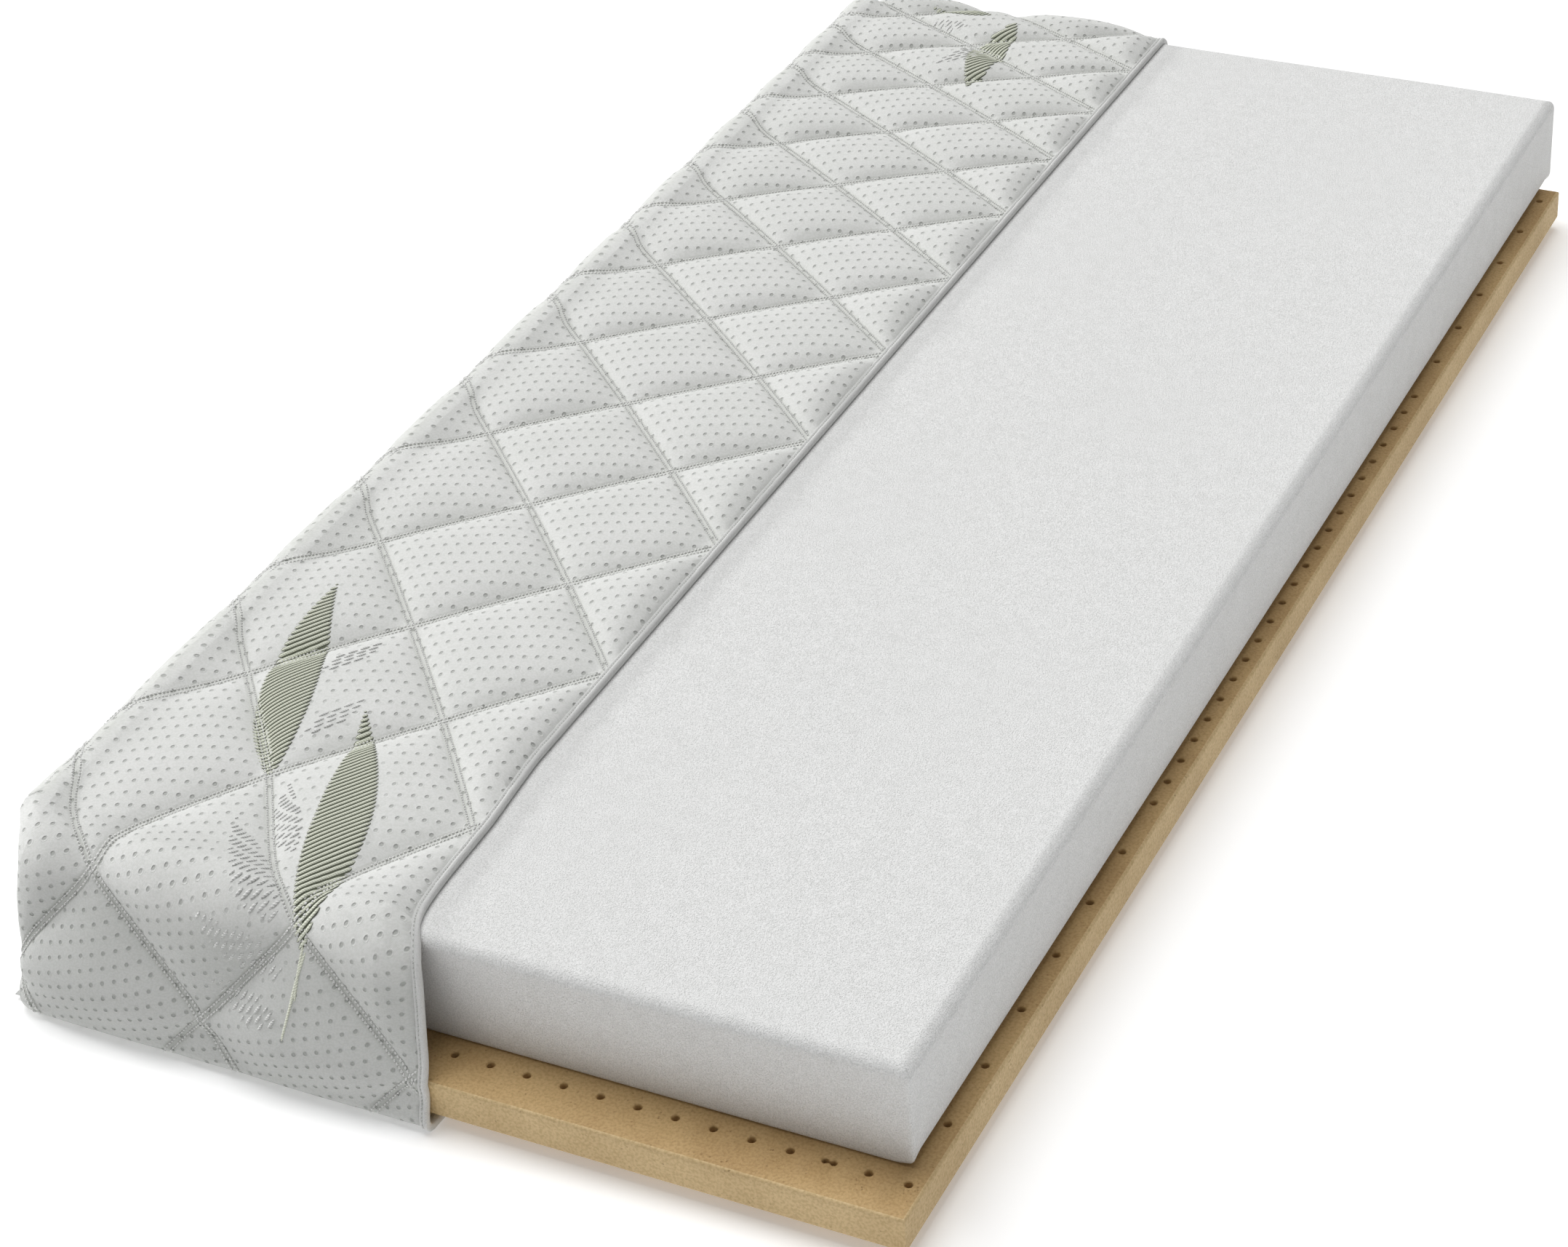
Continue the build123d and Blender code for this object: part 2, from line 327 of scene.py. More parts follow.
def new_object(name, data):
    obj = bpy.data.objects.new(name, data)
    bpy.context.scene.collection.objects.link(obj)
    return obj


def make_piece(name, points, faces, material, body, uv=None, values=None):
    """A mesh piece. points and uv are in millimetres; values are numbers for each point."""
    mesh = bpy.data.meshes.new(name)
    mesh.from_pydata((np.asarray(points, float) * MM).tolist(), [], faces)
    if uv is not None:
        index = np.zeros(len(mesh.loops), np.int32)
        mesh.loops.foreach_get("vertex_index", index)
        layer = mesh.uv_layers.new(name="fabric")
        layer.data.foreach_set("uv", (np.asarray(uv, float)[index] * MM).astype(np.float32).ravel())
    for key, numbers in (values or {}).items():
        attribute = mesh.attributes.new(key, "FLOAT", "POINT")
        attribute.data.foreach_set("value", np.asarray(numbers, np.float32))
    mesh.shade_smooth()
    mesh.materials.append(material)
    obj = new_object(name, mesh)
    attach(obj, body)
    return obj


def grid_faces(rows, columns, start=0, close=False):
    """Quads of a grid of points, row by row. close joins the last column to the first."""
    at = np.arange(rows * columns).reshape(rows, columns) + start
    if close:
        at = np.hstack([at, at[:, :1]])
    return np.stack([at[:-1, :-1], at[:-1, 1:], at[1:, 1:], at[1:, :-1]], -1).reshape(-1, 4).tolist()


def ring_angles(count, first=0.0):
    return np.linspace(0, math.tau, count, endpoint=False) + first


def tubes(paths):
    """Closed tubes from an array of (tube, station, ring point, 3)."""
    count, stations, sides, _ = paths.shape
    one = grid_faces(stations, sides, close=True)
    one += [list(range(sides))[::-1], [(stations - 1) * sides + i for i in range(sides)]]
    faces = [[i * stations * sides + j for j in face] for i in range(count) for face in one]
    return paths.reshape(-1, 3), faces


def joined(parts):
    """Several (points, faces, uv) meshes as one."""
    points, faces, uv, start = [], [], [], 0
    for p, f, w in parts:
        faces += [[i + start for i in face] for face in f]
        points.append(p)
        uv.append(w)
        start += len(p)
    return np.concatenate(points), faces, np.concatenate(uv)


def thick_sheet(top, under, faces, rims):
    """A closed mesh from a sheet's upper and lower points, its faces and the edges (a, b) of its rim."""
    count = len(top)
    backs = [[i + count for i in face[::-1]] for face in faces]
    sides = [[b, a, a + count, b + count] for a, b in rims]
    return np.concatenate([top, under]), faces + backs + sides


# ---- materials


class Look:
    """The node tree of one material. Values are numbers or the outputs of nodes."""

    def __init__(self, name, roughness=0.9):
        self.material = bpy.data.materials.new(name)
        self.material.use_nodes = True
        self.tree = self.material.node_tree
        self.shader = self.tree.nodes["Principled BSDF"]
        self.feed(self.shader, {"Roughness": roughness})

    def feed(self, node, inputs):
        for key, value in dict(inputs).items():
            if isinstance(value, bpy.types.NodeSocket):
                self.tree.links.new(value, node.inputs[key])
            else:
                node.inputs[key].default_value = value

    def add(self, kind, inputs=(), **settings):
        node = self.tree.nodes.new("ShaderNode" + kind)
        for key, value in settings.items():
            setattr(node, key, value)
        self.feed(node, inputs)
        return node.outputs

    def calc(self, operation, *values):
        return self.add("Math", enumerate(values), operation=operation)[0]

    def times(self, a, b):
        return self.calc("MULTIPLY", a, b)

    def ramp(self, value, low, high, to_low=0.0, to_high=1.0):
        inputs = {0: value, 1: low, 2: high, 3: to_low, 4: to_high}
        return self.add("MapRange", inputs, interpolation_type="SMOOTHSTEP")[0]

    def tint(self, value, low, high):
        """A colour that goes from low to high with value."""
        return self.add("Mix", {0: value, 6: (*low, 1), 7: (*high, 1)}, data_type="RGBA")[2]

    def shade(self, colour, *marks):
        """The colour, multiplied towards dark where value is 1, for each mark (value, dark)."""
        for value, dark in marks:
            inputs = {0: 1.0, 6: colour, 7: self.tint(value, (1, 1, 1), dark)}
            colour = self.add("Mix", inputs, data_type="RGBA", blend_type="MULTIPLY")[2]
        return colour

    def noise(self, vector, scale, detail=3.0):
        return self.add("TexNoise", {"Vector": vector, "Scale": scale, "Detail": detail})[0]

    def cells(self, vector, scale):
        return self.add("TexVoronoi", {"Vector": vector, "Scale": scale})["Distance"]

    def attribute(self, name):
        return self.add("Attribute", attribute_name=name)["Fac"]

    def where(self):
        return self.add("TexCoord")["Object"]

    def along(self, vector, direction):
        """How far a point lies along a direction, times the direction's length."""
        return self.add("VectorMath", {0: vector, 1: direction}, operation="DOT_PRODUCT")["Value"]

    def wave(self, vector, direction):
        return self.calc("SINE", self.along(vector, direction))

    def finish(self, colour, height, depth, strength, inputs):
        """Joins the colour, a bump with a depth in metres, and other inputs to the shader."""
        normal = self.add("Bump", {"Height": height, "Distance": depth, "Strength": strength})[0]
        self.feed(self.shader, {"Base Color": colour, "Normal": normal, **inputs})
        return self.material


# The lattice of dents: its two steps and the half size of a dent, in millimetres
DOT_ACROSS = (12.4, 5.4)
DOT_ALONG = (2.0, -18.7)
DOT_SIZE = (2.0, 2.4)
DOT_CROWDING = 0.5


def knit_material():
    """White knit: small dents in a lattice, a fine stitch texture, painted shade in seam grooves and on
    walls.
    """
    m = Look("knit_fabric", 0.85)
    uv = m.add("UVMap", uv_map="fabric")[0]
    warp = m.add("TexNoise", {"Vector": uv, "Scale": 14.0, "Detail": 1.0})["Color"]
    uv = m.add("VectorMath", {0: warp, 1: (0.004,) * 3, 2: uv}, operation="MULTIPLY_ADD")[0]
    (ax, ay), (bx, by) = DOT_ACROSS, DOT_ALONG
    det = (ax * by - bx * ay) * MM
    fi = m.calc("SUBTRACT", m.calc("FRACT", m.along(uv, (by / det, -bx / det, 0))), 0.5)
    fj = m.calc("SUBTRACT", m.calc("FRACT", m.along(uv, (-ay / det, ax / det, 0))), 0.5)
    squares = []
    for a, b, size in zip(DOT_ACROSS, DOT_ALONG, DOT_SIZE):
        offset = m.calc("MULTIPLY_ADD", fi, a, m.times(fj, b))
        squares.append(m.calc("POWER", m.calc("DIVIDE", offset, size), 2.0))
    far = m.calc("SQRT", m.calc("ADD", *squares))
    bare = m.calc("SUBTRACT", 1.0, m.attribute("plain"))
    dot = m.times(m.ramp(far, 0.6, 1.25, 1.0, 0.0), bare)
    from_rim = m.calc("ABSOLUTE", m.calc("SUBTRACT", far, 1.45))
    rim = m.times(m.ramp(from_rim, 0.0, 0.35, 1.0, 0.0), bare)
    wale, course = (m.wave(uv, step) for step in ((5200.0, 2600.0, 0), (-2100.0, 4300.0, 0)))
    knit = m.times(wale, course)
    fuzz = m.noise(uv, 900.0, 2.0)
    colour = m.tint(m.ramp(m.noise(uv, 9.0, 2.0), 0.3, 0.7), (0.905, 0.912, 0.892), (0.94, 0.944, 0.928))
    stitch, speckle = m.times(m.ramp(knit, -1.0, 1.0), 0.5), m.ramp(m.noise(uv, 420.0, 2.0), 0.36, 0.64)
    # Painted shade: the seam mark darkens the knit in the stitch grooves, and the wall mark darkens it on
    # the cover's walls.
    colour = m.shade(
        colour, (dot, (0.66, 0.67, 0.655)), (stitch, (0.88, 0.885, 0.87)), (speckle, (0.925, 0.93, 0.92)),
        (m.attribute("seam"), (0.95, 0.955, 0.94)), (m.attribute("wall"), (0.84, 0.845, 0.84)),
    )
    height = m.calc("MULTIPLY_ADD", dot, -0.9, m.times(rim, 0.22))
    height = m.calc("MULTIPLY_ADD", knit, 0.10, height)
    height = m.calc("MULTIPLY_ADD", fuzz, 0.16, height)
    rough = m.ramp(fuzz, 0.2, 0.8, 0.78, 0.95)
    inputs = {"Roughness": rough, "Sheen Weight": 0.25, "Sheen Roughness": 0.5}
    return m.finish(colour, height, 1.5 * MM, 0.9, inputs)


def thread_material(name, light, dark, pitch):
    """Twisted thread: slanting plies along the fabric's u, at a pitch in metres."""
    m = Look(name, 0.7)
    uv = m.add("UVMap", uv_map="fabric")[0]
    twist = math.tau / pitch
    level = m.ramp(m.wave(uv, (twist, twist * 0.75, 0)), -0.9, 0.5)
    colour = m.shade(m.tint(level, dark, light), (m.ramp(m.noise(uv, 700.0), 0.35, 0.8), (0.9, 0.9, 0.89)))
    return m.finish(colour, level, 0.0004, 1.0, {"Sheen Weight": 0.2})


def foam_material():
    """Fine open-cell foam, nearly white, with a faint speckle of pores."""
    m = Look("foam_cells", 0.95)
    point = m.where()
    grain = m.noise(point, 640.0, 4.0)
    pore = m.ramp(m.cells(point, 620.0), 0.12, 0.5, 1.0, 0.0)
    colour = m.tint(m.ramp(grain, 0.36, 0.64), (0.785, 0.79, 0.78), (0.925, 0.925, 0.92))
    patches = m.ramp(m.noise(point, 55.0), 0.35, 0.7)
    colour = m.shade(colour, (patches, (0.97, 0.97, 0.968)), (m.times(pore, 0.6), (0.9, 0.9, 0.895)))
    height = m.calc("MULTIPLY_ADD", pore, -0.5, grain)
    return m.finish(colour, height, 0.0009, 0.8, {"Roughness": m.ramp(grain, 0.2, 0.8, 0.9, 1.0)})


def latex_material(name, low, high):
    """Tan moulded latex with fine pitting and slow changes of tone."""
    m = Look(name, 0.7)
    point = m.where()
    grain = m.noise(point, 330.0, 4.0)
    pit = m.ramp(m.cells(point, 210.0), 0.05, 0.32, 1.0, 0.0)
    pit = m.times(pit, m.ramp(m.noise(point, 60.0), 0.45, 0.7))
    colour = m.tint(m.ramp(m.noise(point, 10.0), 0.3, 0.7), low, high)
    colour = m.shade(colour, (m.ramp(grain, 0.38, 0.66), (0.84, 0.82, 0.77)), (pit, (0.70, 0.64, 0.56)))
    height = m.calc("MULTIPLY_ADD", pit, -0.8, grain)
    return m.finish(colour, height, 0.0011, 0.8, {"Roughness": m.ramp(grain, 0.3, 0.8, 0.58, 0.8)})


def woven_material(name, light, dark, pitch, rough=0.85):
    """Plain weave: crossing yarns at the given pitch in metres, from object coordinates."""
    m = Look(name, rough)
    point = m.where()
    step = math.tau / pitch
    yarn = m.times(m.wave(point, (step, 0, step * 0.5)), m.wave(point, (0, step, step * 0.5)))
    fuzz = m.noise(point, 600.0)
    colour = m.tint(m.ramp(yarn, -0.8, 0.8), dark, light)
    colour = m.shade(colour, (m.ramp(fuzz, 0.4, 0.8), (0.88, 0.88, 0.88)))
    height = m.calc("MULTIPLY_ADD", fuzz, 0.4, yarn)
    level = m.ramp(fuzz, 0.2, 0.8, rough - 0.08, min(rough + 0.08, 1.0))
    return m.finish(colour, height, pitch * 0.25, 0.8, {"Roughness": level})


def lacquer_material():
    """Satin white lacquer on a die-cast zip slider and pull."""
    m = Look("zip_lacquer", 0.35)
    haze = m.noise(m.where(), 300.0, 4.0)
    colour = m.tint(m.ramp(haze, 0.3, 0.7), (0.72, 0.73, 0.72), (0.80, 0.81, 0.80))
    return m.finish(colour, haze, 0.0002, 0.4, {"Roughness": m.ramp(haze, 0.3, 0.8, 0.3, 0.48)})


knit = knit_material()
thread = thread_material("stitch_thread", (0.99, 0.99, 0.98), (0.86, 0.87, 0.85), 0.0018)
hem_thread = thread_material("hem_thread", (0.76, 0.77, 0.74), (0.56, 0.57, 0.55), 0.0018)
leaf_thread = thread_material("leaf_thread", (0.96, 0.985, 0.84), (0.74, 0.77, 0.64), 0.0024)
leaf_cloth = woven_material("leaf_ground_cloth", (0.20, 0.22, 0.155), (0.13, 0.145, 0.10), 0.0014)
white_thread = thread_material("pale_thread", (0.94, 0.945, 0.93), (0.66, 0.67, 0.65), 0.0024)
foam_skin = foam_material()
# Lit and shaded copies of one latex: a darker one with painted shade for the plate's top, a lighter one
# with painted light for its sides.
latex_painted_shade = latex_material("latex_painted_shade", (0.52, 0.335, 0.142), (0.62, 0.42, 0.19))
latex_side_painted_light = latex_material("latex_side_painted_light", (0.66, 0.48, 0.245), (0.75, 0.56, 0.30))
lining_cloth = woven_material("lining_cloth", (0.46, 0.465, 0.46), (0.34, 0.345, 0.34), 0.0011)
base_cloth = woven_material("base_cloth", (0.74, 0.745, 0.73), (0.58, 0.585, 0.57), 0.0012)
hem_cloth = woven_material("hem_cloth", (0.94, 0.945, 0.93), (0.82, 0.825, 0.81), 0.0010)
tape_cloth = woven_material("zip_tape_cloth", (0.78, 0.785, 0.775), (0.60, 0.605, 0.60), 0.0008)
label_cloth = woven_material("label_cloth", (0.88, 0.88, 0.875), (0.74, 0.745, 0.74), 0.0005, 0.6)
coil_plastic = woven_material("zip_coil_plastic", (0.82, 0.825, 0.82), (0.72, 0.725, 0.72), 0.0009, 0.4)
lacquer = lacquer_material()


# ---- leaf spray

RIB_DIRECTION = np.array([1.0, 1.44]) / math.hypot(1.0, 1.44)
RIB_PITCH = 5.5
PALE_RIB_PITCH = 6.4
DASH_STEP = 14.0
DASH_GAP = 3.4
DASH_STAGGER = 0.382
SHORTEST_RIB = 3.0


def leaf_shape(root, tip, width, bend=0.0):
    """Closed outline of a plain willow leaf on the fabric, with its spine bent sideways by bend."""
    root, run = np.array(root, float), np.array(tip, float) - root
    side = np.array([-run[1], run[0]]) / np.linalg.norm(run)
    t = np.linspace(0, 1, 25)
    spine = root + run * t[:, None] + side * (4 * bend * t * (1 - t))[:, None]
    half = side * (width / 2 * np.sin(math.pi * t**0.8))[:, None]
    return np.concatenate([spine + half, (spine - half)[-2:0:-1]])


# Two plain sprigs, one near each end: solid green leaves, and pale ones worked in dashes
GREEN_LEAVES = [
    leaf_shape((-292, -826), (-400, -512), 62, 12), leaf_shape((-140, -1020), (-252, -700), 60, -16),
    leaf_shape((-250, 1000), (-238, 800), 46, -10), leaf_shape((-292, 1012), (-388, 1024), 24, 4),
]
PALE_LEAVES = [
    leaf_shape((-168, -1000), (-280, -900), 40, 8), leaf_shape((-152, -1040), (-262, -1000), 34, 6),
    leaf_shape((-150, -1080), (-236, -1060), 28, 4), leaf_shape((-196, -930), (-262, -830), 34, 6),
    leaf_shape((-290, -760), (-262, -680), 26, -4), leaf_shape((-330, -660), (-300, -580), 28, -4),
    leaf_shape((-260, 940), (-306, 850), 34, 5), leaf_shape((-310, 975), (-410, 978), 24, 3),
]
# Threads along the stem of the second green leaf
STEMS = [((-140, -1012), (-136, -1056)), ((-138, -1048), (-144, -1092)), ((-136, -1018), (-140, -1060))]


def leaf_field(corners, points):
    """Distance inside a leaf's outline for each point, negative outside."""
    a = corners
    a, run = corners, np.roll(corners, -1, 0) - corners
    field = np.full(len(points), -50.0)
    near = np.all((points > a.min(0) - 15) & (points < a.max(0) + 15), axis=1)
    p = points[near][:, None]
    t = np.clip(((p - a) * run).sum(-1) / (run**2).sum(-1), 0, 1)
    gap = np.linalg.norm(p - a - run * t[..., None], axis=2).min(axis=1)
    crossed = (a[:, 1] > p[..., 1]) != (np.roll(a[:, 1], -1) > p[..., 1])
    at = a[:, 0] + run[:, 0] * (p[..., 1] - a[:, 1]) / np.where(run[:, 1] == 0, 1e-9, run[:, 1])
    inside = (crossed & (p[..., 0] < at)).sum(axis=1) % 2 == 1
    field[near] = np.where(inside, gap, -gap)
    return field


def leaf_ribs(corners, pitch):
    """Start and end of each rib of a leaf, along the weave's direction."""
    across = np.array([RIB_DIRECTION[1], -RIB_DIRECTION[0]])
    a, b = corners, np.roll(corners, -1, 0)
    ca, cb = a @ across, b @ across
    ribs = []
    for k in range(int(ca.min() / pitch) - 1, int(ca.max() / pitch) + 2):
        level = k * pitch
        hit = (ca > level) != (cb > level)
        part = ((level - ca[hit]) / (cb[hit] - ca[hit]))[:, None]
        ends = np.sort((a[hit] + (b[hit] - a[hit]) * part) @ RIB_DIRECTION)
        for low, high in zip(ends[::2], ends[1::2]):
            if high - low >= SHORTEST_RIB:
                ribs.append((across * level + RIB_DIRECTION * low, across * level + RIB_DIRECTION * high))
    return ribs

ROPE_SIDES = 6


def rope_piece(name, ribs, material, width, height):
    """Tapered raised threads on the quilt, each from one point of the fabric to another."""
    ring = ring_angles(ROPE_SIDES, math.pi / ROPE_SIDES)
    offset = np.cos(ring) * width / 2
    parts = []
    for number, (a, b) in enumerate(ribs):
        length = np.linalg.norm(b - a)
        t = np.linspace(0, 1, max(4, int(length / 3.0)))[:, None]
        line = a + (b - a) * t
        side = np.array([-(b - a)[1], (b - a)[0]]) / length
        taper = np.clip(np.minimum(t, 1 - t) * length / 3.5, 0.12, 1) ** 0.6
        u = line[:, :1] + side[0] * offset * taper
        s = line[:, 1:] + side[1] * offset * taper
        lift = relief(u, s)[0] + 0.15 + np.sin(ring) * height * taper
        uv = pair(t * length + number * 7.3, offset).reshape(-1, 2)
        parts.append((*tubes(place(u, s, lift)[None]), uv))
    points, faces, uv = joined(parts)
    make_piece(name, points, faces, material, "cover", uv)


def broken_rib(rib, seed):
    """The dashes of a pale rib, which start at a different place on each rib."""
    a, b = rib
    length = np.linalg.norm(b - a)
    ahead = (b - a) / length
    starts = np.arange(DASH_STEP * (seed * DASH_STAGGER % 1 - 1), length, DASH_STEP)
    ends = np.minimum(starts + DASH_STEP - DASH_GAP, length)
    dashes = [(low, high) for low, high in zip(np.maximum(starts, 0), ends) if high - low > SHORTEST_RIB]
    return [(a + ahead * low, a + ahead * high) for low, high in dashes]


def leaf_spray():
    green = [rib for leaf in GREEN_LEAVES for rib in leaf_ribs(leaf, RIB_PITCH)]
    stems = [(np.array(a, float), np.array(b, float)) for a, b in STEMS]
    whole = [(rib, n) for leaf in PALE_LEAVES for n, rib in enumerate(leaf_ribs(leaf, PALE_RIB_PITCH))]
    pale = [part for rib, number in whole for part in broken_rib(rib, number)]
    rope_piece("leaf_ribs_green", green, leaf_thread, 3.6, 1.3)
    rope_piece("leaf_stems", stems, leaf_thread, 2.7, 1.1)
    rope_piece("leaf_ground", green, leaf_cloth, RIB_PITCH + 0.8, 0.3)
    rope_piece("leaf_ribs_pale", pale, white_thread, 3.2, 1.2)


# ---- quilt


# Grid lines beside a stitch line, and where the cover bends, in millimetres
NEAR_SEAM = np.array([0, 1.3, 2.7, 4.1, 5.4, 7.0, 9.2, 13.5, 21.0])
BEND_LINES = (0.0, 12.0, 24.0, T_WALL, T_ROLL, T_ROLL + 4.5, T_ROLL + 9.0, T_UNDER)
MIDDLE_STEPS = 7
CELLS = ((-5, 13), (-15, 3))
CELL_STEPS = 2 * (len(NEAR_SEAM) - 1) + MIDDLE_STEPS


def cell_offset(i, pitch):
    """Lattice fraction of grid line i of a cell, which crowds near the stitch lines."""
    last = len(NEAR_SEAM) - 1
    near = NEAR_SEAM[np.clip(i, 0, last)] / pitch
    far = 1 - NEAR_SEAM[np.clip(CELL_STEPS - i, 0, last)] / pitch
    edge = NEAR_SEAM[-1] / pitch
    middle = edge + (1 - 2 * edge) * (i - last) / MIDDLE_STEPS
    return np.where(i <= last, near, np.where(i >= CELL_STEPS - last, far, middle))


def trim(bm, field, clear):
    """Cuts the flat mesh where the field is zero. clear drops the part where it is negative."""
    flat = np.array([v.co[:2] for v in bm.verts])
    for vert, value in zip(bm.verts, field(flat[:, 0], flat[:, 1])):
        vert.co.z = value
    everything = bm.verts[:] + bm.edges[:] + bm.faces[:]
    bmesh.ops.bisect_plane(bm, geom=everything, dist=0.15, plane_no=(0, 0, 1), clear_inner=clear)
    for vert in bm.verts:
        vert.co.z = 0


def quilt_pattern():
    """The cover's flat cloth as a mesh in fabric millimetres, with grid lines on the stitch lines."""
    lines = [np.arange(low * CELL_STEPS, high * CELL_STEPS + 1) for low, high in CELLS]
    i, j = np.meshgrid(*lines, indexing="ij")
    pitch = np.full(i.shape, 150.0)
    for _ in range(4):
        alpha = i // CELL_STEPS + cell_offset(i % CELL_STEPS, pitch)
        beta = j // CELL_STEPS + cell_offset(j % CELL_STEPS, pitch)
        u, s = unlattice(alpha, beta)
        pitch = np.interp(s, table_s, table_pitch)
    v = (alpha - beta) / 2
    near = (u < CUT_U + 20) & (fold(u + lean_shift(s), s).t < T_END + 20)
    keep = near & (v > table_v[0]) & (v < table_v[-1])
    quads = np.array(grid_faces(*i.shape))
    quads = quads[keep.ravel()[quads].any(axis=1)]
    used, index = np.unique(quads, return_inverse=True)
    flat = np.stack([u.ravel()[used], s.ravel()[used], np.zeros(len(used))], -1)
    mesh = bpy.data.meshes.new("quilt_pattern")
    mesh.from_pydata(flat.tolist(), [], index.reshape(-1, 4).tolist())
    bm = bmesh.new()
    bm.from_mesh(mesh)
    bpy.data.meshes.remove(mesh)
    trim(bm, lambda u, s: CUT_U - HEM_WIDTH - u, True)
    for vert in bm.verts:
        vert.co.x += float(lean_shift(vert.co.y))
    trim(bm, lambda u, s: T_END - fold(u, s).t, True)
    for level in BEND_LINES:
        trim(bm, lambda u, s: fold(u, s).t - level, False)
    for flap in (0, 1):
        trim(bm, lambda u, s: fold(u, s).notch[flap], False)
    for axis in (1, 2):
        for level in (slot_low[axis], slot_high[axis]):
            trim(bm, lambda u, s: np.where(u < LEFT_U, place(u, s, 0.0)[:, axis] - level, 50.0), False)
    u, s = np.array([face.calc_center_median()[:2] for face in bm.faces]).T
    p = place(u, s, 0.0)
    gone = (u < LEFT_U - T_WALL) & np.all((p > slot_low)[:, 1:] & (p < slot_high)[:, 1:], axis=1)
    gone |= np.maximum(*fold(u, s).notch) < 0
    bmesh.ops.delete(bm, geom=[face for face, out in zip(bm.faces, gone) if out], context="FACES")
    bmesh.ops.dissolve_degenerate(bm, dist=0.05, edges=bm.edges[:])
    return bm


def dot_run(s):
    """Distance along the fabric for the knit pattern, which is closer on the front and rear walls."""
    return s + DOT_CROWDING * (np.minimum(s - FAN_Y_FRONT, 0) + np.maximum(s - FAN_Y_REAR, 0))


def quilt():
    bm = quilt_pattern()
    bm.verts.index_update()
    flat = np.array([v.co[:2] for v in bm.verts])
    faces = [[v.index for v in face.verts] for face in bm.faces]
    loops = [e.link_loops[0] for e in bm.edges if e.is_boundary]
    rims = [(loop.vert.index, loop.link_loop_next.vert.index) for loop in loops]
    bm.free()
    u, s = flat.T
    # seam is how close a point is to a stitch line; the knit paints shade into the grooves with it.
    lift, seam = relief(u, s)
    points, faces = thick_sheet(place(u, s, lift), place(u, s, -QUILT_THICKNESS), faces, rims)
    plain = smooth(-9, 2, np.max([leaf_field(leaf, flat) for leaf in GREEN_LEAVES + PALE_LEAVES], axis=0))
    # wall is 1 on the cover's walls, where the knit paints shade to darken them.
    wall = smooth(T_WALL - 14, T_WALL + 26, fold(u, s).t)
    values = {"seam": np.tile(seam, 2), "plain": np.tile(plain, 2), "wall": np.tile(wall, 2)}
    uv = np.tile(pair(u, dot_run(s)), (2, 1))
    piece = make_piece("quilted_cover", points, faces, knit, "cover", uv, values)
    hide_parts("cover_knit", "wadding_top", "wadding_front", "wadding_rear", "wadding_left_upper",
                "wadding_left_lower")


# ---- stitches

STITCH_PITCH = 4.0
STITCH_LENGTH = 2.9
STITCH_ROW = 2.7
STITCH_SPAN = np.array([-0.5, -0.32, 0.0, 0.32, 0.5]) * STITCH_LENGTH
STITCH_FAT = np.array([0.25, 0.85, 1.0, 0.85, 0.25])[:, None]
STITCH_SINK = np.array([-0.45, 0.0, 0.22, 0.0, -0.45])[:, None]


def unit(directions):
    return directions / np.linalg.norm(directions, axis=1)[:, None]


def sideways(directions):
    return pair(-directions[:, 1], directions[:, 0])


def stitch_points(line, family):
    """Evenly spaced points and directions along one stitch line, in fabric millimetres."""
    other = np.linspace(-15, 13, 12000)
    same = np.full_like(other, line)
    alpha, beta = (same, other) if family == 0 else (other, same)
    v = (alpha - beta) / 2
    good = (v > table_v[0]) & (v < table_v[-1])
    u, s = unlattice(alpha[good], beta[good])
    path = pair(u + lean_shift(s), s)
    run = np.concatenate([[0], np.cumsum(np.linalg.norm(np.diff(path, axis=0), axis=1))])
    at = np.arange(STITCH_PITCH, run[-1] - STITCH_PITCH, STITCH_PITCH)
    centre, beyond = (pair(*(np.interp(at + step, run, path[:, k]) for k in (0, 1))) for step in (0, 1))
    return centre, unit(beyond - centre)


def stitch_piece(name, centre, ahead, lift=0.95, width=1.3, material=thread):
    """Small spindle-shaped stitches lying on the cover."""
    ring = ring_angles(4, math.pi / 4)
    off = np.cos(ring) * STITCH_FAT * width
    high = lift + STITCH_SINK + np.sin(ring) * STITCH_FAT * width * 0.75
    middle, step, side = (a[:, None, None] for a in (centre, ahead, sideways(ahead)))
    at = middle + step * STITCH_SPAN[:, None, None] + side * off[..., None]
    points, faces = tubes(place(at[..., 0], at[..., 1], high))
    run = np.arange(len(centre))[:, None, None] * STITCH_PITCH + STITCH_SPAN[:, None]
    make_piece(name, points, faces, material, "cover", pair(run, off).reshape(-1, 2))


def stitches():
    for family, name in ((0, "stitches_rising"), (1, "stitches_falling")):
        rows, directions = [], []
        for line in range(-14, 13):
            centre, ahead = stitch_points(line, family)
            for offset in (-STITCH_ROW, STITCH_ROW):
                rows.append(centre + sideways(ahead) * offset)
                directions.append(ahead)
        centre, ahead = np.concatenate(rows), np.concatenate(directions)
        to_cut, to_slot, to_corner, t, _ = wall_distance(*centre.T)
        good = (to_cut > 2) & (to_slot > 3) & (to_corner > 3) & (t < T_ROLL + 4)
        stitch_piece(name, centre[good], ahead[good])


def border_stitches():
    """The double row of stitches along the left top edge."""
    s = np.arange(FAN_Y_FRONT + 6, FAN_Y_REAR - 6, STITCH_PITCH)
    u = LEFT_U - BORDER_T
    rows = np.concatenate([pair(u + side * STITCH_ROW, s) for side in (-1, 1)])
    stitch_piece("stitches_border", rows, np.tile((0.0, 1.0), (len(rows), 1)))


# ---- hem, lining, base


# The hem's section: millimetres across from the cut, and up from the seam level
HEM_SECTION = np.array([
    (-9.5, -1.0), (-9.1, 0.8), (-8.3, 1.9), (-7.3, 2.1), (-6.5, 1.5), (-5.9, 0.6), (-5.1, 1.5),
    (-4.0, 2.5), (-2.6, 2.8), (-1.4, 2.4), (-0.5, 1.4), (0.0, -0.4), (0.0, -2.6), (-0.5, -4.6),
    (-2.0, -5.8), (-5.5, -5.9), (-9.5, -5.6),
])

HEM_STITCH_X = -5.9


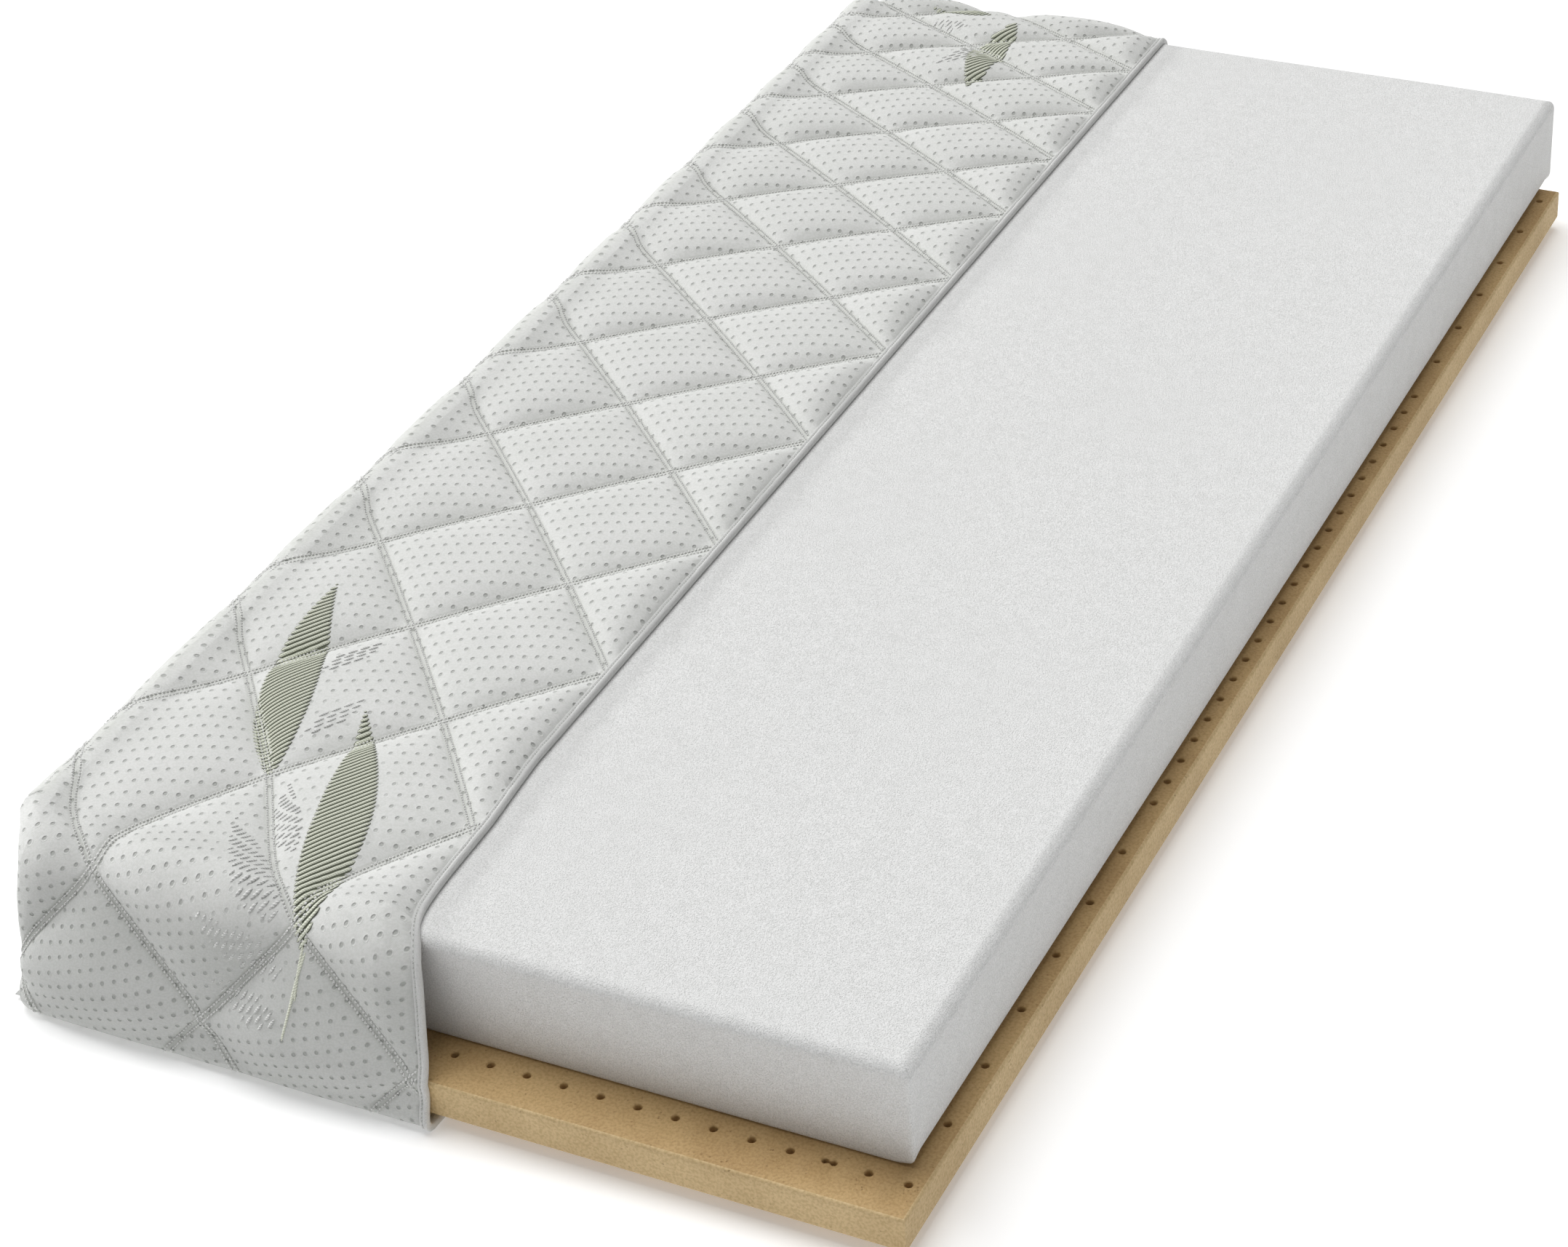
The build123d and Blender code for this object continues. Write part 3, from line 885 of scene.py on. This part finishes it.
def fabric_steps(drop, bend, flat):
    """Distances along the fabric from t = drop in front to behind, in steps for the bends and the flat."""
    front, rear = FAN_Y_FRONT - FLAT_R - drop, FAN_Y_REAR + FLAT_R + drop
    return np.concatenate([np.arange(front, FAN_Y_FRONT, bend), np.arange(FAN_Y_FRONT, FAN_Y_REAR, flat),
                           np.arange(FAN_Y_REAR, rear + 0.1, bend)])


def hem():
    s = fabric_steps(T_END, 3.0, 9.0)[:, None]
    across, height = HEM_SECTION.T
    ripple = 0.18 * np.sin(s / 6.1) + 0.14 * np.sin(s / 2.7)
    lift = height + ripple * (height > 0.5)
    points, faces = tubes(place(CUT_U + lean_shift(s) + across, s, lift)[None])
    uv = pair(s, across + height).reshape(-1, 2)
    piece = make_piece("cut_edge_binding", points, faces, hem_cloth, "cover", uv)
    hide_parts("cut_hem")
    at = np.arange(s[0, 0] + 6, s[-1, 0] - 6, STITCH_PITCH)
    centre = pair(CUT_U + HEM_STITCH_X + lean_shift(at), at)
    stitch_piece("hem_stitches", centre, unit(np.gradient(centre, axis=0)), 1.1, 0.8, hem_thread)


LINING_LIFT = (-4.0, -5.2)


def shell_sheet(u, s):
    """A closed thin sheet under the cover, on a grid of fabric lines, with its uv."""
    gu, gs = np.meshgrid(u, s, indexing="ij")
    gu = gu + lean_shift(gs) * smooth(FAN_X, CUT_U, gu)
    top, under = (place(gu, gs, lift).reshape(-1, 3) for lift in LINING_LIFT)
    index = np.arange(gu.size).reshape(gu.shape)
    ring = np.concatenate([index[0], index[1:, -1], index[-1, -2::-1], index[-2:0:-1, 0]]).tolist()
    points, faces = thick_sheet(top, under, grid_faces(*gu.shape), zip(ring, ring[1:] + ring[:1]))
    return points, faces, np.tile(pair(gu, gs).reshape(-1, 2), (2, 1))


def box_grid(low, high, margins, spacing):
    """Points and quads of a box, in fine steps within a margin of its edges along each axis."""
    fine = np.array([0, 0.12, 0.25, 0.4, 0.55, 0.7, 0.85])
    ticks = []
    for a, b, near in zip(low, high, margins):
        inner = np.linspace(a + near, b - near, max(2, int((b - a - 2 * near) / spacing) + 1))
        ticks.append(np.concatenate([a + fine * near, inner, (b - fine * near)[::-1]]))
    points, faces = [], []
    for axis in range(3):
        flat = pair(*np.meshgrid(*ticks[:axis], *ticks[axis + 1:], indexing="ij"))
        quads = np.array(grid_faces(*flat.shape[:2]))
        for at_high, value in ((False, low[axis]), (True, high[axis])):
            turned = quads[:, ::-1] if at_high == (axis == 1) else quads
            faces.append(turned + sum(map(len, points)))
            points.append(np.insert(flat, axis, value, -1).reshape(-1, 3))
    points = np.concatenate(points)
    _, index, inverse = np.unique(np.round(points, 3), axis=0, return_index=True, return_inverse=True)
    return points[index], inverse.reshape(-1)[np.concatenate(faces)]


def past_box(q):
    """Distance outside a box, negative inside, from the distances past its pairs of faces."""
    return np.linalg.norm(np.maximum(q, 0), axis=1) + np.minimum(q.max(axis=1), 0)


def slab_piece(name, low, high, corners, edge, bottom_edge, spacing, material, body, slot, wobble=0.0):
    """A soft block with rounded edges. corners are the plan radii at the front left, rear left and right;
    bottom_edge is the edge radius below, at the right and elsewhere."""
    points, faces = box_grid(low, high, (edge * 1.5, edge * 1.5, edge * 1.2), spacing)
    middle, half_size = (low + high) / 2, (high - low) / 2

    def outside(p):
        x, y, z = p.T
        plan_r = np.where(x < middle[0], np.where(y < middle[1], *corners[:2]), corners[2])
        plan = past_box(np.abs(p - middle)[:, :2] - half_size[:2] + plan_r[:, None]) - plan_r
        at_right = smooth(-20, 20, np.minimum(y - low[1], high[1] - y) - (high[0] - x))
        r = np.where(z > middle[2], edge, mix(bottom_edge[1], bottom_edge[0], at_right))
        return past_box(pair(plan + r, np.abs(z - middle[2]) - half_size[2] + r)) - r

    pull = min(max(*corners[:2], edge) * 1.3, (high[2] - low[2]) * 0.49)
    anchor = np.clip(points, low + pull, high - pull)
    near, far = np.zeros(len(points)), np.ones(len(points))
    for _ in range(26):
        half = (near + far) / 2
        out = outside(anchor + (points - anchor) * half[:, None]) > 0
        near, far = np.where(out, near, half), np.where(out, half, far)
    points = anchor + (points - anchor) * far[:, None]
    x, y, z = points.T
    points[:, 2] += wobble * np.sin(x / 83 + 1) * np.sin(y / 97) * (z > middle[2])
    return make_piece(name, points, faces.tolist(), material, body)


def foam():
    radii = (45, 45, 4.5), 13.0, (16.0, 4.0)
    piece = slab_piece("foam_block", foam_low, foam_high, *radii, 22.0, foam_skin, "core", "foam", 0.35)
    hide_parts("foam_core")


def lining():
    drop = T_ROLL - 20
    left, right = LEFT_U - drop, CUT_U - 6.0
    u_top = np.append(np.arange(FAN_X, right - 3, 12.0), right)
    s_top = np.append(np.arange(FAN_Y_FRONT, FAN_Y_REAR, 12.0), FAN_Y_REAR)
    left_flap = shell_sheet(np.arange(left, FAN_X + 0.1, 4.0), s_top)
    points, faces, uv = joined([shell_sheet(u_top, fabric_steps(drop, 4.0, 12.0)), left_flap])
    piece = make_piece("cover_lining_sheet", points, faces, lining_cloth, "cover", uv)
    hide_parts("cover_lining")


def base():
    low = np.array([base_low[0] + 13, base_low[1] + 13, 0.8])
    high = np.array([CUT_U - 1.0, base_high[1] - 13, base_high[2] - 0.4])
    radii = (105, 46, 3), 4.5, (4.5, 4.5)
    piece = slab_piece("base_panel_pad", low, high, *radii, 26.0, base_cloth, "cover", "base_fabric")
    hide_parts("base_panel")


# ---- latex plate

HOLE_SIDES = 16
HOLE_R = 4.0
LIP_R = 5.6
LATEX_EDGE_R = 3.0
LATEX_INSET = 7.0
CORNER_FRONT = 78.0
CORNER_REAR = 45.0
COLUMN_STEP = 39.5
HOLE_MARGIN_RIGHT = 16.6
HOLE_MARGIN_FRONT = 45.7
END_STEP = 87.0
END_ROWS = 8
MIDDLE_LENGTH = 858.0
MIDDLE_ROWS = 23
REAR_ROWS = 6
COLUMNS = 25
TWIN_SPACING = 8.6
TWIN_R = 3.5
# How much wider than the hole its wall is, at depths below the top
HOLE_PROFILE = ((LIP_R - HOLE_R, 0.1), (0.4, 0.7), (-0.1, 2.4))


def hole_rows():
    ends = latex_low[1] + HOLE_MARGIN_FRONT + END_STEP * np.arange(END_ROWS)
    middle = ends[-1] + MIDDLE_LENGTH / (MIDDLE_ROWS - 1) * np.arange(1, MIDDLE_ROWS)
    return np.concatenate([ends, middle, middle[-1] + END_STEP * np.arange(1, REAR_ROWS + 1)])


def twin_radius(angle):
    """Outline of two round holes side by side, as a distance from their middle."""
    c = np.abs(np.cos(angle)) * TWIN_SPACING / 2
    inside = np.maximum(TWIN_R**2 - (TWIN_SPACING / 2) ** 2 + c**2, 0)
    return np.where(inside > 0, c + np.sqrt(inside), 1.2)


def plate_edge(points):
    """Moves plan points in the left corners' squares onto round corners."""
    for radius, side, end in ((CORNER_FRONT, -1, latex_low[1]), (CORNER_REAR, 1, latex_high[1])):
        middle = np.array([latex_low[0] + radius, end - side * radius])
        d = points - middle
        inside = (d[:, 0] < 0) & (d[:, 1] * side > 0)
        scale = np.abs(d).max(axis=1) / np.maximum(np.linalg.norm(d, axis=1), 1e-9)
        points = np.where(inside[:, None], middle + d * scale[:, None], points)
    return points

def patch_borders(low, middles, high):
    """Where the patches around a row of holes meet, and where the first and last end."""
    return np.concatenate([[low + LATEX_INSET], (middles[1:] + middles[:-1]) / 2, [high - LATEX_INSET]])


def plate_outline(corners):
    """A closed plan outline in equal steps between corners, kept within the plate's round corners."""
    a = np.array(corners, float)[:, None]
    steps = np.arange(HOLE_SIDES // 4)[:, None] / (HOLE_SIDES // 4)
    return plate_edge((a + (np.roll(a, -1, 0) - a) * steps).reshape(-1, 2))


def at_height(plan, z):
    return np.concatenate([plan, np.full((len(plan), 1), z)], 1)


def rim_section(top, bottom):
    """Distances outside the patches, and heights, from the plate's top round its edge to the bottom."""
    section = [(0.0, top)]
    flat = LATEX_INSET - LATEX_EDGE_R
    for a in np.linspace(0, math.pi / 2, 6):
        section.append((flat + LATEX_EDGE_R * math.sin(a), top - LATEX_EDGE_R * (1 - math.cos(a))))
    for z in np.linspace(top - LATEX_EDGE_R - 6, bottom + LATEX_EDGE_R + 6, 4):
        section.append((LATEX_INSET, z))
    for a in np.linspace(0, math.pi / 2, 4):
        section.append((flat + LATEX_EDGE_R * math.cos(a), bottom + LATEX_EDGE_R * (1 - math.sin(a))))
    return section + [(0.0, bottom)]


def latex():
    """A pincore plate: one patch of mesh around each hole, top and bottom, and a rounded rim."""
    rows = hole_rows()
    columns = latex_high[0] - HOLE_MARGIN_RIGHT - COLUMN_STEP * np.arange(COLUMNS)[::-1]
    xs = patch_borders(latex_low[0], columns, latex_high[0])
    ys = patch_borders(latex_low[1], rows, latex_high[1])
    top, bottom = latex_high[2], latex_low[2]
    turn = ring_angles(HOLE_SIDES, math.radians(225))
    circle = pair(np.cos(turn), np.sin(turn))
    points, faces = [], []
    for r, cy in enumerate(rows):
        for c, cx in enumerate(columns):
            x0, x1, y0, y1 = xs[c], xs[c + 1], ys[r], ys[r + 1]
            square = plate_outline([(x0, y0), (x1, y0), (x1, y1), (x0, y1)])
            twin = r == 0 and c == COLUMNS - 3
            hole = twin_radius(turn) if twin else HOLE_R * (1 + 0.03 * np.sin(3 * turn + r + 2 * c))
            walls = [((cx, cy) + circle * (hole + out)[:, None], top - deep) for out, deep in HOLE_PROFILE]
            levels = [(square, top), *walls, (walls[-1][0], bottom), (square, bottom)]
            faces.extend(grid_faces(len(levels), HOLE_SIDES, len(points) * HOLE_SIDES, close=True))
            points.extend(at_height(plan, z) for plan, z in levels)
    outline = plate_outline([(x, ys[0]) for x in xs[:-1]] + [(xs[-1], y) for y in ys[:-1]]
                            + [(x, ys[-1]) for x in xs[:0:-1]] + [(xs[0], y) for y in ys[:0:-1]])
    after = -sideways(unit(np.roll(outline, -1, 0) - outline))
    before = np.roll(after, 1, 0)
    normal = (before + after) / (1 + (before * after).sum(axis=1))[:, None]
    rim = [at_height(outline + normal * out, z) for out, z in rim_section(top, bottom)]
    start = len(points) * HOLE_SIDES
    sides = [f[::-1] for f in grid_faces(len(rim), len(outline), start, close=True)]
    faces += sides
    # The hole patches, top and bottom, and the rim's top band take the copy with painted shade; the rest
    # of the rim takes the copy with painted light.
    piece = make_piece("latex_plate", np.concatenate(points + rim), faces, latex_painted_shade, "core")
    piece.data.materials.append(latex_side_painted_light)
    top_band = len(faces) - len(sides) + len(outline)
    piece.data.polygons.foreach_set("material_index", [int(i >= top_band) for i in range(len(faces))])
    bm = bmesh.new()
    bm.from_mesh(piece.data)
    bmesh.ops.remove_doubles(bm, verts=bm.verts[:], dist=0.00002)
    bmesh.ops.recalc_face_normals(bm, faces=bm.faces[:])
    bm.to_mesh(piece.data)
    bm.free()
    piece.data.set_sharp_from_angle(angle=math.radians(60))
    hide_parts("latex_base")


# ---- zipper

TOOTH_PITCH = 1.9
TOOTH_R = 0.62
# Along each coil loop: its reach over the tape, its thickness and how far it stands out
TOOTH_REACH = np.array([-0.9, -0.3, 0.25, 0.75, 1.0])[:, None]
TOOTH_FAT = np.array([0.75, 1.05, 1.0, 1.0, 0.6])[:, None]
TOOTH_BULGE = np.array([0.35, 0.0, -0.2, 0.0, 0.35])[:, None]


def zip_teeth(node, side):
    """A row of moulded coil loops in place of a plain coil strip."""
    low, high = node_box(node)
    offset = 0.0 if side > 0 else TOOTH_PITCH / 2
    row = np.arange(low[1] + 1 + offset, high[1] - 1, TOOTH_PITCH)[:, None, None]
    start, end = (low[2], high[2]) if side > 0 else (high[2], low[2])
    ring = ring_angles(6)
    x = (low[0] + high[0]) / 2 + TOOTH_BULGE + np.cos(ring) * TOOTH_FAT * TOOTH_R * 1.3
    y = row + np.sin(ring) * TOOTH_FAT * TOOTH_R
    z = start + (end - start) * TOOTH_REACH
    points, faces = tubes(np.stack(np.broadcast_arrays(x, y, z), -1))
    name = node.replace("zip_coil", "zip_teeth")
    piece = make_piece(name, points, faces, coil_plastic, "cover")
    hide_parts(node)


def cad_materials():
    by_node = {
        "zip_tape_upper": tape_cloth, "zip_tape_lower": tape_cloth, "zip_stop_front": coil_plastic,
        "zip_stop_rear": coil_plastic, "zip_slider": lacquer, "zip_pull": lacquer,
        "care_label": label_cloth,
    }
    for node, material in by_node.items():
        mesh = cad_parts[node].data
        mesh.materials.clear()
        mesh.materials.append(material)


# ---- studio

FLOOR_HALF = 60.0
FLOOR_GLOW = 0.24
WORLD_LIGHT = 0.22
# Direction that the light comes from, its width in degrees and its strength
TOP_LIGHT = ((-22, 22, 80), 45, 2.06)
KEY_LIGHT = ((-84, 8, 24), 10, 1.25)
CAMERA_LENS = 84.13
CAMERA_AT = Vector((1.5758, -3.1884, 2.3330))
CAMERA_RIGHT = Vector((0.898037, 0.435672, -0.060992))
CAMERA_FORWARD = Vector((-0.391411, 0.728005, -0.562856))


def floor_material():
    m = Look("studio_floor")
    m.feed(m.shader, {"Base Color": (0.97, 0.97, 0.97, 1), "Emission Color": (1.0, 1.0, 1.0, 1),
                      "Emission Strength": FLOOR_GLOW, "Specular IOR Level": 0.1})
    return m.material


def studio():
    mesh = bpy.data.meshes.new("studio_floor")
    corners = [(x * FLOOR_HALF, y * FLOOR_HALF, 0) for x, y in ((-1, -1), (1, -1), (1, 1), (-1, 1))]
    mesh.from_pydata(corners, [], [(0, 1, 2, 3)])
    mesh.materials.append(floor_material())
    floor = new_object("studio_floor", mesh)
    world = bpy.data.worlds.new("studio_world")
    world.use_nodes = True
    colour, strength = world.node_tree.nodes["Background"].inputs[:2]
    colour.default_value, strength.default_value = (1.0, 1.0, 1.0, 1), WORLD_LIGHT
    bpy.context.scene.world = world
    lamp("top_light", *TOP_LIGHT)
    lamp("key_light", *KEY_LIGHT)
    bpy.context.scene.view_settings.view_transform = "Standard"


def lamp(name, towards, angle, strength):
    """A distant soft light that shines from a direction, angle degrees wide."""
    light = bpy.data.lights.new(name, "SUN")
    light.angle, light.energy = math.radians(angle), strength
    new_object(name, light).rotation_euler = (-Vector(towards)).to_track_quat("-Z", "Y").to_euler()


def camera():
    data = bpy.data.cameras.new("camera")
    data.lens = CAMERA_LENS
    data.sensor_width = 36.0
    data.sensor_fit = "HORIZONTAL"
    obj = new_object("camera", data)
    up = CAMERA_RIGHT.cross(CAMERA_FORWARD)
    turn = Matrix((CAMERA_RIGHT, up, -CAMERA_FORWARD)).transposed().to_4x4()
    obj.matrix_world = Matrix.Translation(CAMERA_AT) @ turn
    bpy.context.scene.camera = obj


camera()
studio()
foam()
latex()
quilt()
stitches()
border_stitches()
leaf_spray()
hem()
lining()
base()
zip_teeth("zip_coil_upper", 1)
zip_teeth("zip_coil_lower", -1)
cad_materials()
